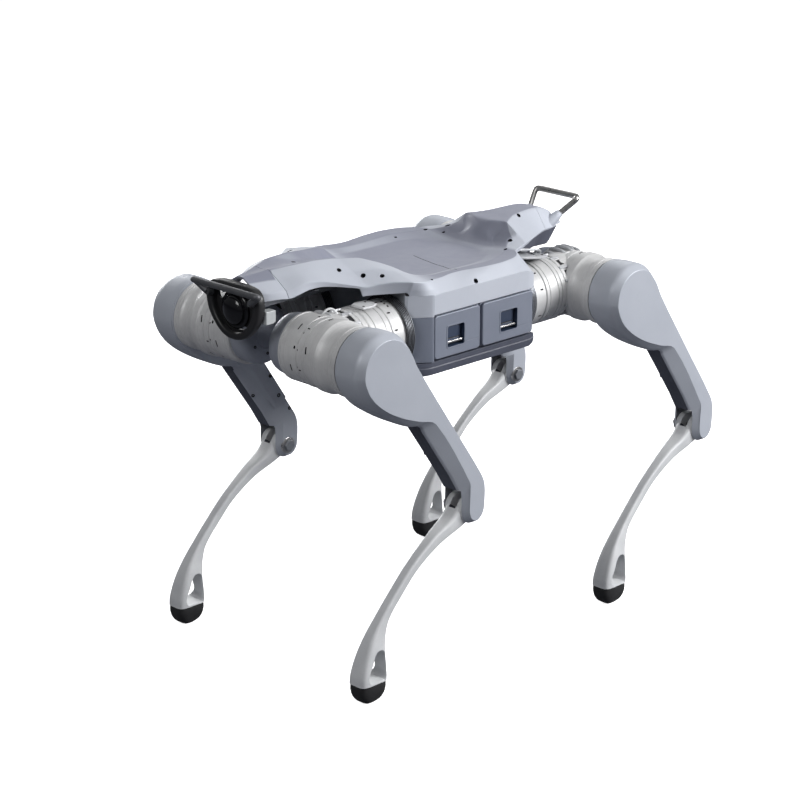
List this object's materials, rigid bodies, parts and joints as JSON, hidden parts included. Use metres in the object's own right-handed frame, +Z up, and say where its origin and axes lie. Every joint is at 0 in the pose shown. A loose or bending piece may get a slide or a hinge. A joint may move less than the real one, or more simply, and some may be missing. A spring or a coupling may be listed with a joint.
{
  "type": "quadruped robot dog",
  "caption": "Four-legged walking robot with a low box body, twin side battery packs, bowed legs with rubber feet, a front sensor head and hand bars at nose and tail.",
  "frame": {"origin": "on the floor under the middle of the bounding box, feet standing on z = 0", "axes": "+X towards the front (sensor head), +Y to the robot's left, +Z up"},
  "size_m": [0.7868, 0.435, 0.5883],
  "materials": {
    "plastic_shell": "satin paint",
    "dark_pan": "satin",
    "frame_alloy": "satin",
    "module": "matt",
    "guard_plastic": "matt",
    "black_lens": "gloss",
    "dark_bar": "satin",
    "lamp_alloy": "satin",
    "steel": "brushed",
    "bare_actuator": "machined",
    "black_rubber": "matt",
    "battery_door": "satin",
    "end_cap": "satin",
    "painted_thigh": "painted satin",
    "cast_alloy": "satin"
  },
  "bodies": {
    "trunk": {"top_shell": "plastic_shell", "side_shell_left": "plastic_shell", "side_shell_right": "plastic_shell", "belly_pan": "dark_pan", "chassis_frame": "frame_alloy", "compute_module": "module", "nose_cover": "plastic_shell", "sensor_frame": "guard_plastic", "sensor_dome": "black_lens", "front_handle": "dark_bar", "front_lamp_left": "lamp_alloy", "front_lamp_right": "lamp_alloy", "tail_cover": "plastic_shell", "rear_handle": "steel", "rear_sensor": "dark_pan", "roll_actuator_front_left": "bare_actuator", "roll_gasket_front_left": "black_rubber", "roll_actuator_front_right": "bare_actuator", "roll_gasket_front_right": "black_rubber", "roll_actuator_rear_left": "bare_actuator", "roll_gasket_rear_left": "black_rubber", "roll_actuator_rear_right": "bare_actuator", "roll_gasket_rear_right": "black_rubber"},
    "battery_front_body": {"battery_front": "battery_door"},
    "latch_front_body": {"latch_front": "steel"},
    "battery_rear_body": {"battery_rear": "battery_door"},
    "latch_rear_body": {"latch_rear": "steel"},
    "hip_front_left": {"hip_housing_front_left": "bare_actuator", "hip_end_cap_front_left": "end_cap"},
    "thigh_front_left": {"thigh_frame_front_left": "painted_thigh", "thigh_cover_front_left": "plastic_shell", "knee_pin_front_left": "steel"},
    "shank_front_left_body": {"shank_front_left": "cast_alloy", "foot_sole_front_left": "black_rubber"},
    "rod_front_left": {"knee_rod_front_left": "steel"},
    "hip_front_right": {"hip_housing_front_right": "bare_actuator", "hip_end_cap_front_right": "end_cap"},
    "thigh_front_right": {"thigh_frame_front_right": "painted_thigh", "thigh_cover_front_right": "plastic_shell", "knee_pin_front_right": "steel"},
    "shank_front_right_body": {"shank_front_right": "cast_alloy", "foot_sole_front_right": "black_rubber"},
    "rod_front_right": {"knee_rod_front_right": "steel"},
    "hip_rear_left": {"hip_housing_rear_left": "bare_actuator", "hip_end_cap_rear_left": "end_cap"},
    "thigh_rear_left": {"thigh_frame_rear_left": "painted_thigh", "thigh_cover_rear_left": "plastic_shell", "knee_pin_rear_left": "steel"},
    "shank_rear_left_body": {"shank_rear_left": "cast_alloy", "foot_sole_rear_left": "black_rubber"},
    "rod_rear_left": {"knee_rod_rear_left": "steel"},
    "hip_rear_right": {"hip_housing_rear_right": "bare_actuator", "hip_end_cap_rear_right": "end_cap"},
    "thigh_rear_right": {"thigh_frame_rear_right": "painted_thigh", "thigh_cover_rear_right": "plastic_shell", "knee_pin_rear_right": "steel"},
    "shank_rear_right_body": {"shank_rear_right": "cast_alloy", "foot_sole_rear_right": "black_rubber"},
    "rod_rear_right": {"knee_rod_rear_right": "steel"}
  },
  "joints": [
    {"name": "hip_roll_front_left", "type": "hinge", "parent": "trunk", "child": "hip_front_left", "pos_m": [0.295, 0.08, 0.473], "axis": [1, 0, 0], "range_deg": [-20, 40]},
    {"name": "hip_pitch_front_left", "type": "hinge", "parent": "hip_front_left", "child": "thigh_front_left", "pos_m": [0.295, 0.1925, 0.473], "axis": [0, -1, 0], "range_deg": [-75, 80]},
    {"name": "knee_front_left", "type": "hinge", "parent": "thigh_front_left", "child": "shank_front_left_body", "pos_m": [0.1295, 0.1925, 0.2365], "axis": [0, 1, 0], "range_deg": [-60, 30]},
    {"name": "rod_pivot_front_left", "type": "hinge", "parent": "shank_front_left_body", "child": "rod_front_left", "pos_m": [0.113, 0.1925, 0.2478], "axis": [0, 1, 0], "range_deg": [-30, 60]},
    {"name": "hip_roll_front_right", "type": "hinge", "parent": "trunk", "child": "hip_front_right", "pos_m": [0.295, -0.08, 0.473], "axis": [-1, 0, 0], "range_deg": [-20, 40]},
    {"name": "hip_pitch_front_right", "type": "hinge", "parent": "hip_front_right", "child": "thigh_front_right", "pos_m": [0.295, -0.1925, 0.473], "axis": [0, -1, 0], "range_deg": [-75, 80]},
    {"name": "knee_front_right", "type": "hinge", "parent": "thigh_front_right", "child": "shank_front_right_body", "pos_m": [0.1295, -0.1925, 0.2365], "axis": [0, 1, 0], "range_deg": [-60, 30]},
    {"name": "rod_pivot_front_right", "type": "hinge", "parent": "shank_front_right_body", "child": "rod_front_right", "pos_m": [0.113, -0.1925, 0.2478], "axis": [0, 1, 0], "range_deg": [-30, 60]},
    {"name": "hip_roll_rear_left", "type": "hinge", "parent": "trunk", "child": "hip_rear_left", "pos_m": [-0.205, 0.08, 0.473], "axis": [1, 0, 0], "range_deg": [-20, 40]},
    {"name": "hip_pitch_rear_left", "type": "hinge", "parent": "hip_rear_left", "child": "thigh_rear_left", "pos_m": [-0.205, 0.1925, 0.473], "axis": [0, 1, 0], "range_deg": [-40, 80]},
    {"name": "knee_rear_left", "type": "hinge", "parent": "thigh_rear_left", "child": "shank_rear_left_body", "pos_m": [-0.3705, 0.1925, 0.2365], "axis": [0, 1, 0], "range_deg": [-60, 30]},
    {"name": "rod_pivot_rear_left", "type": "hinge", "parent": "shank_rear_left_body", "child": "rod_rear_left", "pos_m": [-0.387, 0.1925, 0.2478], "axis": [0, 1, 0], "range_deg": [-30, 60]},
    {"name": "hip_roll_rear_right", "type": "hinge", "parent": "trunk", "child": "hip_rear_right", "pos_m": [-0.205, -0.08, 0.473], "axis": [-1, 0, 0], "range_deg": [-20, 40]},
    {"name": "hip_pitch_rear_right", "type": "hinge", "parent": "hip_rear_right", "child": "thigh_rear_right", "pos_m": [-0.205, -0.1925, 0.473], "axis": [0, 1, 0], "range_deg": [-40, 80]},
    {"name": "knee_rear_right", "type": "hinge", "parent": "thigh_rear_right", "child": "shank_rear_right_body", "pos_m": [-0.3705, -0.1925, 0.2365], "axis": [0, 1, 0], "range_deg": [-60, 30]},
    {"name": "rod_pivot_rear_right", "type": "hinge", "parent": "shank_rear_right_body", "child": "rod_rear_right", "pos_m": [-0.387, -0.1925, 0.2478], "axis": [0, 1, 0], "range_deg": [-30, 60]},
    {"name": "battery_slide_front", "type": "slide", "parent": "trunk", "child": "battery_front_body", "axis": [0, 1, 0], "range_m": [0, 0.125]},
    {"name": "latch_hinge_front", "type": "hinge", "parent": "battery_front_body", "child": "latch_front_body", "pos_m": [0.09, 0.132, 0.4755], "axis": [1, 0, 0], "range_deg": [0, 40], "stiffness_Nm_per_rad": 0.02},
    {"name": "battery_slide_rear", "type": "slide", "parent": "trunk", "child": "battery_rear_body", "axis": [0, 1, 0], "range_m": [0, 0.125]},
    {"name": "latch_hinge_rear", "type": "hinge", "parent": "battery_rear_body", "child": "latch_rear_body", "pos_m": [-0.017, 0.132, 0.4755], "axis": [1, 0, 0], "range_deg": [0, 40], "stiffness_Nm_per_rad": 0.02}
  ],
  "couplings": [
    {"joint": "rod_pivot_front_left", "follows": "knee_front_left", "ratio": -1},
    {"joint": "rod_pivot_front_right", "follows": "knee_front_right", "ratio": -1},
    {"joint": "rod_pivot_rear_left", "follows": "knee_rear_left", "ratio": -1},
    {"joint": "rod_pivot_rear_right", "follows": "knee_rear_right", "ratio": -1}
  ]
}
